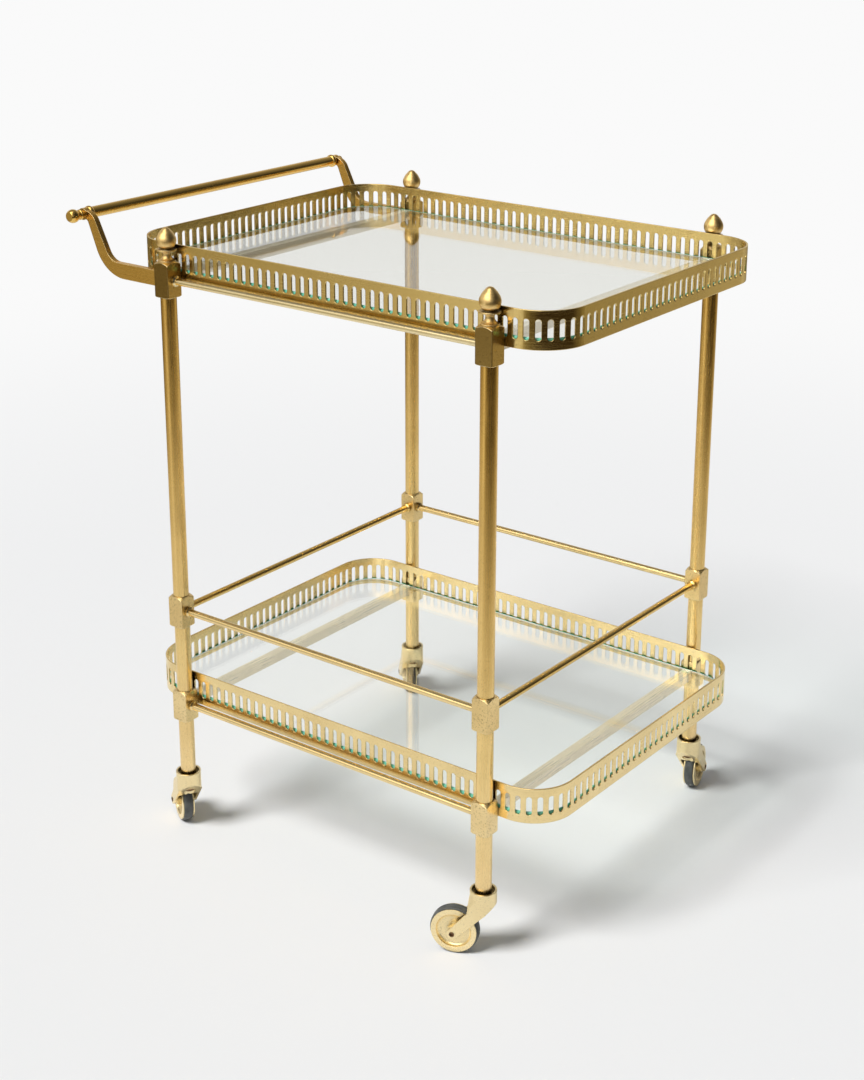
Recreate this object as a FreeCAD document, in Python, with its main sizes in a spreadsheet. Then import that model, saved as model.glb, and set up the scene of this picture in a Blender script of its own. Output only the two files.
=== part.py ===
"""Brass bar cart: tube legs, pierced galleries round two glass shelves, a bar handle and swivel casters.

Frame: the origin is on the floor midway between the four legs, +X runs along the front away from the
handle, +Y from front to back and +Z up. Lengths are millimetres and angles are degrees.
"""
import FreeCAD, Part
import math
import os
from types import SimpleNamespace

import Sketcher

DIMENSIONS = [
    # Legs and the blocks on them
    ("leg_spacing_x", 460, "between leg axes along the front"),
    ("leg_spacing_y", 460, "between leg axes from front to back"),
    ("tube_outer", 19, "outside diameter of the leg tubes"),
    ("tube_bore", 16, "bore of the leg tubes"),
    ("block_side", 22, "side of the square blocks"),
    ("block_edge", 0.8, "rounding of the upright edges of the blocks"),
    ("block_height", 40, "height of the middle and low blocks"),
    ("top_block_height", 42, "height of the top blocks"),
    ("block_crown", 21, "diameter of the flat left by the turned top"),
    ("block_crown_drop", 4.2, "how far the turned top falls towards the corners"),
    ("block_heel", 27, "diameter of the flat left by the turned bottom"),
    ("block_heel_rise", 1.6, "how far the turned bottom rises towards the corners"),
    ("low_block_base", 157.5, "underside of the low blocks above the floor"),
    ("mid_block_base", 284.5, "underside of the middle blocks above the floor"),
    ("top_block_base", 700, "underside of the top blocks above the floor"),
    ("tie_rod_diameter", 6, "threaded rod down each leg"),
    ("tie_rod_clearance", 0.2, "radial room round the tie rod"),
    # Finials
    ("finial_foot", 20.8, "diameter of the foot"),
    ("finial_foot_height", 1.6, "height of the foot's straight edge"),
    ("finial_waist", 9.6, "smallest diameter of the neck"),
    ("finial_waist_height", 8.4, "height of the waist"),
    ("finial_collar", 23.2, "diameter of the collar"),
    ("finial_collar_base", 13, "height of the collar's underside"),
    ("finial_collar_thickness", 1.8, "thickness of the collar"),
    ("finial_egg", 23.4, "largest diameter of the egg"),
    ("finial_egg_rise", 9.8, "widest ring of the egg above the collar"),
    ("finial_crown", 15.4, "tip of the egg above its widest ring"),
    ("finial_shoulder", 20, "diameter of the ball that rounds the egg's shoulder"),
    ("finial_shoulder_depth", 11.9, "centre of that ball below the tip"),
    ("finial_tip", 12, "diameter to which the egg's tip is rounded"),
    ("finial_thread", 14, "depth of the tie rod in the finial"),
    # Rods between the blocks
    ("rod_diameter", 8.6, "round rods between the legs"),
    ("rod_rise", 20, "rod axis above the underside of its blocks"),
    ("collar_diameter", 12.6, "collar at each end of a rod"),
    ("collar_length", 3, "straight length of the collar"),
    ("collar_taper", 1.4, "length over which the collar falls to the rod"),
    ("spigot_diameter", 6, "spigot of a rod in its block"),
    ("spigot_length", 6, "depth of a spigot in its block"),
    ("spigot_clearance", 0.1, "radial room round a spigot"),
    # Galleries, shelves and the crossbars that carry them
    ("gallery_length", 608, "outside length of the pierced bands"),
    ("gallery_height", 42, "height of the bands"),
    ("gallery_wall", 2, "thickness of the bands"),
    ("gallery_corner", 52, "outside corner radius of the bands"),
    ("gallery_gap", 0.1, "between a band and the blocks outside it"),
    ("gallery_drop", 1.4, "underside of a band below the rod axes"),
    ("slot_width", 6.4, "width of the upright slots"),
    ("slot_height", 22.6, "height of the upright slots"),
    ("slot_rise", 9.8, "bottom of the slots above the underside of the band"),
    ("slot_pitch", 12.4, "spacing of the slots along the band"),
    ("crossbar_width", 12, "width of the crossbars"),
    ("crossbar_height", 12, "height of the crossbars"),
    ("crossbar_tongue", 6, "height of the end that passes under the band"),
    ("crossbar_clearance", 0.3, "between the notch of a crossbar and the band"),
    ("crossbar_spigot", 4, "diameter of the spigot in the block"),
    ("glass_thickness", 6, "thickness of the shelves"),
    ("glass_gap", 1, "between a shelf and the band round it"),
    ("glass_seat", 0.3, "between a shelf and the crossbars under it"),
    ("glass_bevel", 0.6, "bevel along the edges of the glass"),
    # Handle
    ("handle_reach", 123.5, "grip axis from the outer face of the top blocks"),
    ("handle_rise", 60.5, "grip axis above the rod axes"),
    ("bracket_thickness", 7, "thickness of the bracket bar"),
    ("bracket_foot", 18.6, "height of the bracket at the block"),
    ("bracket_tip", 10, "height of the bracket at the eye"),
    ("bracket_outer_knee", 90, "lower bend of the outer edge from the block"),
    ("bracket_inner_knee", 80, "lower bend of the inner edge from the block"),
    ("bracket_outer_elbow", 7.5, "upper bend of the outer edge from the grip axis"),
    ("bracket_inner_elbow", 15.6, "upper bend of the inner edge from the grip axis"),
    ("bracket_outer_knee_bend", 48, "radius of the outer edge's lower bend"),
    ("bracket_inner_knee_bend", 20, "radius of the inner edge's lower bend"),
    ("bracket_outer_elbow_bend", 6, "radius of the outer edge's upper bend"),
    ("bracket_inner_elbow_bend", 20, "radius of the inner edge's upper bend"),
    ("bracket_eye", 14.4, "diameter of the bracket's eye"),
    ("stud_diameter", 5, "stud between bracket and block"),
    ("stud_depth", 12, "depth of the stud in the bracket"),
    ("grip_diameter", 13.4, "diameter of the grip bar"),
    ("bead_diameter", 17, "diameter of the bead at each end of the grip"),
    ("bead_root", 12, "diameter at the edges of the bead"),
    ("bead_length", 7, "length of the bead"),
    ("grip_spigot", 7, "diameter of the grip's ends in the eyes and knobs"),
    ("knob_diameter", 16.4, "diameter of the front end's ball knob"),
    ("knob_neck", 9.4, "diameter of the knob's necks"),
    ("knob_ring", 12.6, "diameter of the ring between the necks"),
    ("knob_ring_base", 2.6, "length of the neck at the eye"),
    ("knob_ring_length", 3.6, "length of the ring"),
    ("knob_centre", 15.4, "centre of the ball from the eye"),
    ("knob_flat", 11, "diameter of the flat on the end of the ball"),
    ("knob_thread", 7, "depth of the grip's end in the knob"),
    ("cap_diameter", 10, "diameter of the low cap on the back end of the grip"),
    ("cap_side", 7, "length of the cap's straight side"),
    ("cap_height", 10.4, "top of the cap's dome from the eye"),
    # Casters
    ("cup_outer", 31, "outside diameter of the caster cup"),
    ("cup_inner", 26.6, "inside diameter of the caster cup"),
    ("cup_base", 60, "underside of the cup above the floor"),
    ("cup_height", 24.5, "height of the cup"),
    ("cup_floor", 19.5, "solid height of the cup below its recess"),
    ("cup_blend", 16.5, "height over which the round cup widens to its square side"),
    ("trail", 32.8, "wheel axle behind the swivel axis"),
    ("arm_span", 30.4, "across the outsides of the two arms, and width of the cup's square side"),
    ("arm_thickness", 3, "thickness of an arm"),
    ("arm_eye", 12, "diameter of an arm round the axle"),
    ("arm_lead_rise", 8.5, "start of the arm's lower edge above the underside of the cup"),
    ("arm_trail_drop", 1.5, "start of the arm's upper edge below the underside of the cup"),
    ("wheel_room", 2.6, "room between the tyre and the web over it"),
    ("tyre_outer", 57.4, "outside diameter of the tyre"),
    ("tyre_width", 12, "width of the tyre"),
    ("tyre_shoulder", 2.8, "rounding of the tread's edges"),
    ("rim_diameter", 44, "seat of the tyre on the wheel"),
    ("tyre_clearance", 0.05, "radial room between the tyre and its seat"),
    ("flange_diameter", 53.8, "brass flanges each side of the tyre"),
    ("flange_thickness", 1.6, "thickness of a flange at its edge"),
    ("dish_outer", 41.5, "outer diameter of the dish turned in each side"),
    ("dish_inner", 32.5, "diameter of the flat floor of the dish"),
    ("dish_depth", 4.2, "depth of the dish"),
    ("hub_diameter", 16, "diameter of the hub boss"),
    ("hub_clearance", 0.3, "between the hub and each arm"),
    ("axle_diameter", 6, "diameter of the axle"),
    ("axle_stand", 0.5, "how far the axle stands out of the arms"),
    ("axle_dimple", 4, "diameter of the drilled dimple in the axle's ends"),
    ("axle_dimple_depth", 2, "depth of that dimple"),
    ("running_clearance", 0.05, "radial room of the turning fits"),
    ("pivot_diameter", 8, "pin on which the cup turns"),
    ("pivot_head", 13, "riveted head under the cup"),
    ("pivot_head_height", 2.5, "height of that head"),
    ("pivot_head_room", 0.8, "room round and over that head"),
    ("plug_length", 20, "length of the plug in the foot tube"),
    ("plug_flange", 2, "flange between the foot tube and the cup"),
    ("plug_clearance", 0.05, "radial room of the plug in the tube"),
    ("plug_thread", 12, "depth of the tie rod in the plug"),
    ("thrust_gap", 0.1, "between the plug's flange and the cup's floor"),
    ("swivel_front_left", 148, "direction in which the front left wheel trails"),
    ("swivel_front_right", 201, "direction in which the front right wheel trails"),
    ("swivel_back_left", 136, "direction in which the back left wheel trails"),
    ("swivel_back_right", 103, "direction in which the back right wheel trails"),
]

CORNERS = {"front_left": (-1, -1), "front_right": (1, -1), "back_left": (-1, 1), "back_right": (1, 1)}
LEFT_TURN, RIGHT_TURN = 1, -1
HALF_DIAGONAL = math.sqrt(0.5)
Z_AXIS = FreeCAD.Vector(0, 0, 1)
UPRIGHT = FreeCAD.Rotation()
ALONG_X = FreeCAD.Rotation(FreeCAD.Vector(0, 1, 0), 90)
ALONG_Y = FreeCAD.Rotation(FreeCAD.Vector(1, 0, 0), -90)
AGAINST_Y = FreeCAD.Rotation(FreeCAD.Vector(1, 0, 0), 90)

doc = FreeCAD.newDocument("BarCart")


class Size:
    """A number together with the sheet expression that gives it."""

    def __init__(self, value, text):
        self.value = float(value)
        self.text = text

    def __add__(self, other):
        other = as_size(other)
        return Size(self.value + other.value, f"({self.text} + {other.text})")

    def __sub__(self, other):
        other = as_size(other)
        return Size(self.value - other.value, f"({self.text} - {other.text})")

    def __mul__(self, other):
        other = as_size(other)
        return Size(self.value * other.value, f"({self.text} * {other.text})")

    def __truediv__(self, other):
        other = as_size(other)
        return Size(self.value / other.value, f"({self.text} / {other.text})")

    def __neg__(self):
        return Size(-self.value, f"(-1 * {self.text})")


def as_size(number):
    return number if isinstance(number, Size) else Size(number, f"({float(number)!r})")


def root(size):
    return Size(math.sqrt(size.value), f"sqrt({size.text})")


def cosine(angle):
    return Size(math.cos(math.radians(angle.value)), f"cos({angle.text})")


def sine(angle):
    return Size(math.sin(math.radians(angle.value)), f"sin({angle.text})")


def make_sheet():
    """Write the driving dimensions to the sheet and return them as sizes."""
    sheet = doc.addObject("Spreadsheet::Sheet", "Sizes")
    for row, (name, value, meaning) in enumerate(DIMENSIONS, start=1):
        sheet.set(f"A{row}", name)
        sheet.set(f"B{row}", str(value))
        sheet.set(f"C{row}", meaning)
        sheet.setAlias(f"B{row}", name)
    doc.recompute()
    return SimpleNamespace(**{name: Size(value, f"Sizes.{name}") for name, value, _ in DIMENSIONS})


d = make_sheet()
nodes = {}


# Placement and sketching

def bind(item, name, size):
    setattr(item, name, size.value)
    item.setExpression(name, size.text)


def place(item, x, y, z, turn=UPRIGHT):
    """Put an item at sizes x, y, z and tie its position to the sheet."""
    spot = [as_size(value) for value in (x, y, z)]
    item.Placement = FreeCAD.Placement(FreeCAD.Vector(*(size.value for size in spot)), turn)
    for axis, size in zip("xyz", spot):
        item.setExpression(f"Placement.Base.{axis}", size.text)


def new_body(label):
    return doc.addObject("PartDesign::Body", label)


def origin_plane(body, role):
    return next(item for item in body.Origin.OriginFeatures if item.Role == role)


def new_sketch(body, plane):
    sketch = body.newObject("Sketcher::SketchObject", f"{body.Name}_sketch")
    sketch.AttachmentSupport = (origin_plane(body, plane), "")
    sketch.MapMode = "FlatFace"
    return sketch


def tie(sketch, kind, ends, size):
    number = sketch.addConstraint(Sketcher.Constraint(kind, *ends, size.value))
    sketch.setExpression(f"Constraints[{number}]", size.text)


def tie_point(sketch, geometry, position, x, y):
    tie(sketch, "DistanceX", (-1, 1, geometry, position), x)
    tie(sketch, "DistanceY", (-1, 1, geometry, position), y)


def arc_between(start, finish, radius, turn):
    """The shorter arc from start to finish, turning left or right on the way."""
    chord = finish - start
    left = FreeCAD.Vector(-chord.y, chord.x, 0).normalize()
    depth = math.sqrt(max(radius ** 2 - (chord.Length / 2) ** 2, 0))
    centre = (start + finish) / 2 + left * (depth * turn)
    ends = (start, finish) if turn == LEFT_TURN else (finish, start)
    angles = [math.atan2(end.y - centre.y, end.x - centre.x) for end in ends]
    return Part.ArcOfCircle(Part.Circle(centre, Z_AXIS, radius), *angles)


def draw_outline(sketch, corners):
    """Closed outline; a corner is (x, y), or (x, y, radius, turn) when an arc leads to it."""
    points = [[as_size(value) for value in corner[:2]] for corner in corners]
    edges = []
    for number, corner in enumerate(corners):
        ends = points[number - 1], points[number]
        start, finish = (FreeCAD.Vector(x.value, y.value, 0) for x, y in ends)
        if len(corner) == 2:
            edges.append((sketch.addGeometry(Part.LineSegment(start, finish)), 1, 2))
            continue
        radius, turn = corner[2:]
        arc = sketch.addGeometry(arc_between(start, finish, radius.value, turn))
        tie(sketch, "Radius", (arc,), radius)
        edges.append((arc, 1, 2) if turn == LEFT_TURN else (arc, 2, 1))
    for (edge, _, last), (following, first, _) in zip(edges, edges[1:] + edges[:1]):
        sketch.addConstraint(Sketcher.Constraint("Coincident", edge, last, following, first))
    for (edge, _, last), (x, y) in zip(edges, points):
        tie_point(sketch, edge, last, x, y)


def draw_circle(sketch, x, y, diameter):
    x, y = as_size(x), as_size(y)
    circle = Part.Circle(FreeCAD.Vector(x.value, y.value, 0), Z_AXIS, diameter.value / 2)
    number = sketch.addGeometry(circle)
    tie(sketch, "Diameter", (number,), diameter)
    tie_point(sketch, number, 3, x, y)


def rectangle(left, bottom, right, top):
    return [(left, bottom), (right, bottom), (right, top), (left, top)]


def rounded_rectangle(length, width, radius):
    """Corners of a rectangle about the origin with rounded corners."""
    x, y = length / 2, width / 2
    inner_x, inner_y = x - radius, y - radius
    return [
        (inner_x, -y), (x, -inner_y, radius, LEFT_TURN),
        (x, inner_y), (inner_x, y, radius, LEFT_TURN),
        (-inner_x, y), (-x, inner_y, radius, LEFT_TURN),
        (-x, -inner_y), (-inner_x, -y, radius, LEFT_TURN),
    ]


def levelling_radius(across, along):
    """Radius of the arc that covers these two distances and ends parallel to the axis."""
    return (across * across + along * along) / (across * 2)


# Features

def revolve(body, *outlines, cut=False):
    """Turn outlines given as (radius, height) about the body's Z axis."""
    sketch = new_sketch(body, "XZ_Plane")
    for outline in outlines:
        draw_outline(sketch, outline)
    kind = "Groove" if cut else "Revolution"
    feature = body.newObject(f"PartDesign::{kind}", f"{body.Name}_{kind.lower()}")
    feature.Profile = sketch
    feature.ReferenceAxis = (sketch, ["V_Axis"])
    feature.Angle = 360
    return feature


def extrude(body, sketch, length, cut=False, both_ways=False, backwards=False):
    kind = "Pocket" if cut else "Pad"
    feature = body.newObject(f"PartDesign::{kind}", f"{body.Name}_{kind.lower()}")
    feature.Profile = sketch
    bind(feature, "Length", length)
    feature.SideType = "Symmetric" if both_ways else "One side"
    feature.Reversed = backwards
    return feature


def drill(body, plane, x, y, diameter, depth, backwards=False, both_ways=False):
    sketch = new_sketch(body, plane)
    draw_circle(sketch, x, y, diameter)
    return extrude(body, sketch, depth, cut=True, backwards=backwards, both_ways=both_ways)


def fillet_crosswise(body, base, corner, radius):
    """Round the edge that runs along Y through the corner (x, z) of a body's last feature."""
    doc.recompute()
    x, z = (size.value for size in corner)
    for number, edge in enumerate(base.Shape.Edges, start=1):
        if all(math.hypot(v.Point.x - x, v.Point.z - z) < 0.01 for v in edge.Vertexes):
            feature = body.newObject("PartDesign::Fillet", f"{body.Name}_bend")
            feature.Base = (base, [f"Edge{number}"])
            bind(feature, "Radius", radius)
            return feature
    raise ValueError(f"no edge at that corner of {body.Label}")


def turned(label, outline, x, y, z, turn=UPRIGHT):
    """A body turned about its own axis and put in place."""
    body = new_body(label)
    revolve(body, outline)
    place(body, x, y, z, turn)
    return body


def group(label, members):
    """Separate solids that share one node."""
    compound = doc.addObject("Part::Compound", label)
    compound.Links = members
    nodes[label] = compound


def leg_spot(corner):
    side_x, side_y = CORNERS[corner]
    return d.leg_spacing_x / 2 * side_x, d.leg_spacing_y / 2 * side_y


# Heights and lengths that several pieces share

top_rod_height = d.top_block_base + d.rod_rise
mid_rod_height = d.mid_block_base + d.rod_rise
low_rod_height = d.low_block_base + d.rod_rise
top_gallery_base = top_rod_height - d.gallery_drop
low_gallery_base = low_rod_height - d.gallery_drop
top_block_top = d.top_block_base + d.top_block_height
gallery_width = d.leg_spacing_y - d.block_side - d.gallery_gap * 2
crossbar_seat = d.crossbar_height - d.crossbar_tongue
rod_hole = d.spigot_diameter + d.spigot_clearance * 2
crossbar_hole = d.crossbar_spigot + d.spigot_clearance * 2
stud_hole = d.stud_diameter + d.spigot_clearance * 2
tie_rod_hole = d.tie_rod_diameter + d.tie_rod_clearance * 2
cup_floor_top = d.cup_base + d.cup_floor
plug_base = cup_floor_top + d.thrust_gap
foot_tube_base = plug_base + d.plug_flange
tie_rod_base = foot_tube_base + d.plug_length - d.plug_thread
axle_height = d.tyre_outer / 2
handle_x = -(d.leg_spacing_x / 2 + d.block_side / 2 + d.handle_reach)
handle_height = top_rod_height + d.handle_rise
bracket_inside = d.leg_spacing_y / 2 - d.bracket_thickness / 2
bracket_outside = d.leg_spacing_y / 2 + d.bracket_thickness / 2
eye_bore = d.grip_spigot + d.spigot_clearance * 2


# Legs

def tube(label, corner, bottom, top):
    wall = rectangle(d.tube_bore / 2, 0, d.tube_outer / 2, top - bottom)
    return turned(label, wall, *leg_spot(corner), bottom)


def legs():
    for corner in CORNERS:
        members = [
            tube(f"upper_tube_{corner}", corner, d.mid_block_base + d.block_height, d.top_block_base),
            tube(f"middle_tube_{corner}", corner, d.low_block_base + d.block_height, d.mid_block_base),
            tube(f"foot_tube_{corner}", corner, foot_tube_base, d.low_block_base),
        ]
        group(f"leg_{corner}", members)


def block(label, corner, base, height, drillings):
    """Square block with turned ends, bored for the tie rod; drillings are (axis, side, height, diameter)."""
    body = new_body(label)
    half = d.block_side / 2
    reach = d.block_side * HALF_DIAGONAL + 1
    sketch = new_sketch(body, "XY_Plane")
    draw_outline(sketch, rounded_rectangle(d.block_side, d.block_side, d.block_edge))
    extrude(body, sketch, height)
    crown = [(d.block_crown / 2, height), (reach, height - d.block_crown_drop), (reach, height)]
    heel = [(d.block_heel / 2, 0), (reach, 0), (reach, d.block_heel_rise)]
    bore = rectangle(0, 0, tie_rod_hole / 2, height)
    revolve(body, crown, heel, bore, cut=True)
    for axis, side, level, diameter in drillings:
        plane, backwards = ("YZ_Plane", side > 0) if axis == "x" else ("XZ_Plane", side < 0)
        drill(body, plane, 0, level, diameter, half, backwards=backwards)
    place(body, *leg_spot(corner), base)
    nodes[label] = body


def blocks():
    """Each block is drilled on the sides where a rod, a crossbar or a handle stud enters it."""
    crossbar_level = d.rod_rise - d.gallery_drop - d.crossbar_tongue / 2
    for corner, (side_x, side_y) in CORNERS.items():
        rod_along_x = ("x", -side_x, d.rod_rise, rod_hole)
        rod_along_y = ("y", -side_y, d.rod_rise, rod_hole)
        crossbar = ("y", -side_y, crossbar_level, crossbar_hole)
        stud = [("x", side_x, d.rod_rise, stud_hole)] if side_x < 0 else []
        top_drillings = [rod_along_x, crossbar] + stud
        block(f"top_block_{corner}", corner, d.top_block_base, d.top_block_height, top_drillings)
        block(f"mid_block_{corner}", corner, d.mid_block_base, d.block_height, [rod_along_x, rod_along_y])
        block(f"low_block_{corner}", corner, d.low_block_base, d.block_height, [rod_along_x, crossbar])


def tangent_points(lower, upper):
    """Where a cone touches two balls on the axis, each given as (radius, height)."""
    slope_sine = (lower[0] - upper[0]) / (upper[1] - lower[1])
    slope_cosine = root(as_size(1) - slope_sine * slope_sine)
    return [(radius * slope_cosine, height + radius * slope_sine) for radius, height in (lower, upper)]


def finial_outline():
    """Acorn nut: foot, waisted neck, collar and an egg of three balls with tangent cones between them."""
    foot, waist, collar = d.finial_foot / 2, d.finial_waist / 2, d.finial_collar / 2
    collar_top = d.finial_collar_base + d.finial_collar_thickness
    lower_flare = levelling_radius(foot - waist, d.finial_waist_height - d.finial_foot_height)
    upper_flare = levelling_radius(collar - waist, d.finial_collar_base - d.finial_waist_height)
    egg, shoulder, tip = d.finial_egg / 2, d.finial_shoulder / 2, d.finial_tip / 2
    egg_height = collar_top + d.finial_egg_rise
    top = egg_height + d.finial_crown
    egg_root = root(egg * egg - d.finial_egg_rise * d.finial_egg_rise)
    shoulder_ball = (shoulder, top - d.finial_shoulder_depth)
    egg_end, shoulder_start = tangent_points((egg, egg_height), shoulder_ball)
    shoulder_end, tip_start = tangent_points(shoulder_ball, (tip, top - tip))
    return [
        (0, 0), (foot, 0), (foot, d.finial_foot_height),
        (waist, d.finial_waist_height, lower_flare, RIGHT_TURN),
        (collar, d.finial_collar_base, upper_flare, RIGHT_TURN),
        (collar, collar_top), (egg_root, collar_top),
        (*egg_end, egg, LEFT_TURN), shoulder_start,
        (*shoulder_end, shoulder, LEFT_TURN), tip_start, (0, top, tip, LEFT_TURN),
    ]


def finials():
    thread = rectangle(0, 0, tie_rod_hole / 2, d.finial_thread + d.tie_rod_clearance)
    for corner in CORNERS:
        label = f"finial_{corner}"
        nodes[label] = turned(label, finial_outline(), *leg_spot(corner), top_block_top)
        revolve(nodes[label], thread, cut=True)


def tie_rods():
    members = []
    for corner in CORNERS:
        rod = doc.addObject("Part::Cylinder", f"tie_rod_{corner}")
        bind(rod, "Radius", d.tie_rod_diameter / 2)
        bind(rod, "Height", top_block_top + d.finial_thread - tie_rod_base)
        place(rod, *leg_spot(corner), tie_rod_base)
        members.append(rod)
    group("tie_rods", members)


# Rods

def rod_outline(length):
    """Rod of a given length between block faces, with collars and spigots."""
    rod, collar, spigot = d.rod_diameter / 2, d.collar_diameter / 2, d.spigot_diameter / 2
    shoulder = d.collar_length + d.collar_taper
    return [
        (0, -d.spigot_length), (spigot, -d.spigot_length), (spigot, 0),
        (collar, 0), (collar, d.collar_length), (rod, shoulder),
        (rod, length - shoulder), (collar, length - d.collar_length), (collar, length),
        (spigot, length), (spigot, length + d.spigot_length), (0, length + d.spigot_length),
    ]


def rods():
    span_x = d.leg_spacing_x - d.block_side
    span_y = d.leg_spacing_y - d.block_side
    levels = {"top": top_rod_height, "mid": mid_rod_height, "low": low_rod_height}
    for level, height in levels.items():
        for name, side in (("front", -1), ("back", 1)):
            label = f"{level}_rod_{name}"
            y = d.leg_spacing_y / 2 * side
            nodes[label] = turned(label, rod_outline(span_x), -(span_x / 2), y, height, ALONG_X)
    for name, side in (("left", -1), ("right", 1)):
        label = f"mid_rod_{name}"
        x = d.leg_spacing_x / 2 * side
        nodes[label] = turned(label, rod_outline(span_y), x, -(span_y / 2), mid_rod_height, ALONG_Y)


# Galleries and shelves

def walk_round(length, width, radius, pitch):
    """Evenly spaced places round a rounded rectangle, as (x, y, outward direction in radians)."""
    straight_x, straight_y, quarter = length - 2 * radius, width - 2 * radius, radius * math.pi / 2
    runs = [straight_x, quarter, straight_y, quarter] * 2
    count = 4 * max(1, round(sum(runs) / pitch / 4))
    step = sum(runs) / count
    x, y, heading, start = -straight_x / 2, -width / 2, 0.0, 0.0
    places = []
    for number, run in enumerate(runs):
        turning = number % 2 == 1
        outward = heading - math.pi / 2
        centre_x, centre_y = x - radius * math.cos(outward), y - radius * math.sin(outward)
        first = math.ceil(start / step - 0.5)
        last = math.ceil((start + run) / step - 0.5)
        for index in range(first, last):
            ahead = (index + 0.5) * step - start
            if turning:
                angle = outward + ahead / radius
                spot = centre_x + radius * math.cos(angle), centre_y + radius * math.sin(angle)
                places.append((*spot, angle))
            else:
                spot = x + ahead * math.cos(heading), y + ahead * math.sin(heading)
                places.append((*spot, outward))
        if turning:
            heading += math.pi / 2
            x, y = centre_x + radius * math.sin(heading), centre_y - radius * math.cos(heading)
        else:
            x, y = x + run * math.cos(heading), y + run * math.sin(heading)
        start += run
    return places


def slot_cutter():
    """Upright slot with round ends that reaches through the band at the origin, along X."""
    half, depth = d.slot_width.value / 2, d.gallery_wall.value
    bottom, top = d.slot_rise.value, d.slot_rise.value + d.slot_height.value
    low, high = bottom + half, top - half
    point = {name: FreeCAD.Vector(-depth, y, z) for name, y, z in (
        ("low_left", -half, low), ("bottom", 0, bottom), ("low_right", half, low),
        ("high_right", half, high), ("top", 0, top), ("high_left", -half, high))}
    edges = [
        Part.Arc(point["low_left"], point["bottom"], point["low_right"]).toShape(),
        Part.makeLine(point["low_right"], point["high_right"]),
        Part.Arc(point["high_right"], point["top"], point["high_left"]).toShape(),
        Part.makeLine(point["high_left"], point["low_left"]),
    ]
    return Part.Face(Part.Wire(edges)).extrude(FreeCAD.Vector(2 * depth, 0, 0))


def gallery(label, base):
    """Pierced band: a rounded-rectangle ring with slots cut through it all round."""
    band = new_body(f"{label}_band")
    wall = d.gallery_wall
    sketch = new_sketch(band, "XY_Plane")
    draw_outline(sketch, rounded_rectangle(d.gallery_length, gallery_width, d.gallery_corner))
    draw_outline(sketch, rounded_rectangle(
        d.gallery_length - wall * 2, gallery_width - wall * 2, d.gallery_corner - wall))
    extrude(band, sketch, d.gallery_height)

    cutter = slot_cutter()
    middle = wall.value / 2
    places = walk_round(d.gallery_length.value - wall.value, gallery_width.value - wall.value,
                        d.gallery_corner.value - middle, d.slot_pitch.value)
    cutters = []
    for x, y, outward in places:
        slot = cutter.copy()
        slot.Placement = FreeCAD.Placement(
            FreeCAD.Vector(x, y, 0), FreeCAD.Rotation(Z_AXIS, math.degrees(outward)))
        cutters.append(slot)
    slots = doc.addObject("Part::Feature", f"{label}_slots")
    slots.Shape = Part.makeCompound(cutters)

    pierced = doc.addObject("Part::Cut", label)
    pierced.Base = band
    pierced.Tool = slots
    place(pierced, 0, 0, base)
    nodes[label] = pierced


def glass_shelf(label, base):
    body = new_body(label)
    inset = d.gallery_wall + d.glass_gap
    sketch = new_sketch(body, "XY_Plane")
    draw_outline(sketch, rounded_rectangle(
        d.gallery_length - inset * 2, gallery_width - inset * 2, d.gallery_corner - inset))
    slab = extrude(body, sketch, d.glass_thickness)
    doc.recompute()
    bevel = body.newObject("PartDesign::Chamfer", f"{label}_bevel")
    flat = [f"Face{number}" for number, face in enumerate(slab.Shape.Faces, start=1)
            if abs(face.normalAt(0, 0).z) > 0.99]
    bevel.Base = (slab, flat)
    bind(bevel, "Size", d.glass_bevel)
    place(body, 0, 0, base + crossbar_seat + d.glass_seat)
    nodes[label] = body


def crossbar(label, side_x, gallery_base):
    """Square bar under the glass; its ends are notched so that a tongue carries the band."""
    body = new_body(label)
    end = (d.leg_spacing_y - d.block_side) / 2
    shoulder = gallery_width / 2 - d.gallery_wall - d.crossbar_clearance
    sketch = new_sketch(body, "YZ_Plane")
    draw_outline(sketch, [
        (-end, -d.crossbar_tongue), (end, -d.crossbar_tongue), (end, 0), (shoulder, 0),
        (shoulder, crossbar_seat), (-shoulder, crossbar_seat), (-shoulder, 0), (-end, 0)])
    extrude(body, sketch, d.crossbar_width, both_ways=True)
    spigots = new_sketch(body, "XZ_Plane")
    draw_circle(spigots, 0, -(d.crossbar_tongue / 2), d.crossbar_spigot)
    extrude(body, spigots, (end + d.spigot_length) * 2, both_ways=True)
    place(body, d.leg_spacing_x / 2 * side_x, 0, gallery_base)
    nodes[label] = body


def shelves():
    for level, base in (("top", top_gallery_base), ("lower", low_gallery_base)):
        gallery(f"{level}_gallery", base)
        glass_shelf(f"{level}_glass", base)
        for name, side_x in (("left", -1), ("right", 1)):
            crossbar(f"{level}_crossbar_{name}", side_x, base)


# Handle

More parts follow.
